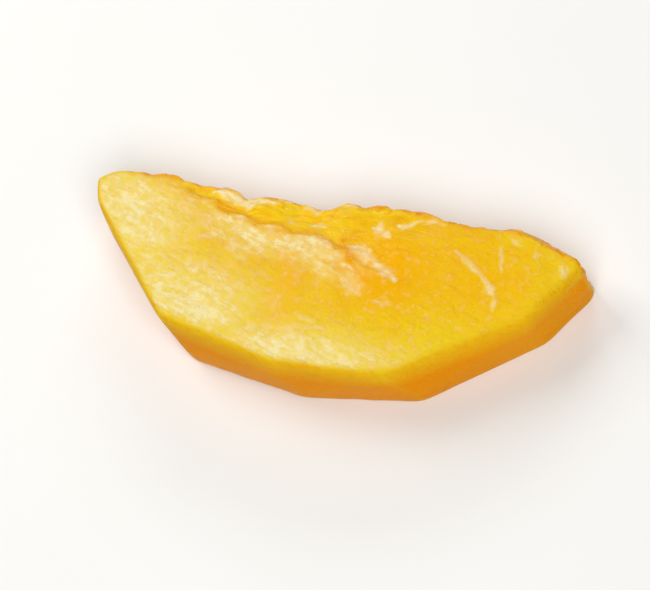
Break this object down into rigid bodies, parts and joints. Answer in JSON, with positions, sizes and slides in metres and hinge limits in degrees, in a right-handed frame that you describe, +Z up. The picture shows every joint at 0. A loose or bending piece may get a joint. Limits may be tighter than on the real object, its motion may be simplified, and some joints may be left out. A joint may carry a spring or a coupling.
{
  "type": "mango slice",
  "caption": "Peeled mango slice, D-shaped, with a torn straight side where the stone was, a faceted curved outside and flat cut faces.",
  "frame": {"origin": "under the middle of the slice, on the surface that it lies on", "axes": "+X along the slice from its thin tip to its blunt end, +Y towards the torn side where the stone was, +Z up through its thickness"},
  "size_m": [0.0994, 0.0384, 0.0154],
  "materials": {
    "mango_flesh": "satin"
  },
  "bodies": {
    "root": {"mango_slice": "mango_flesh"}
  },
  "joints": []
}
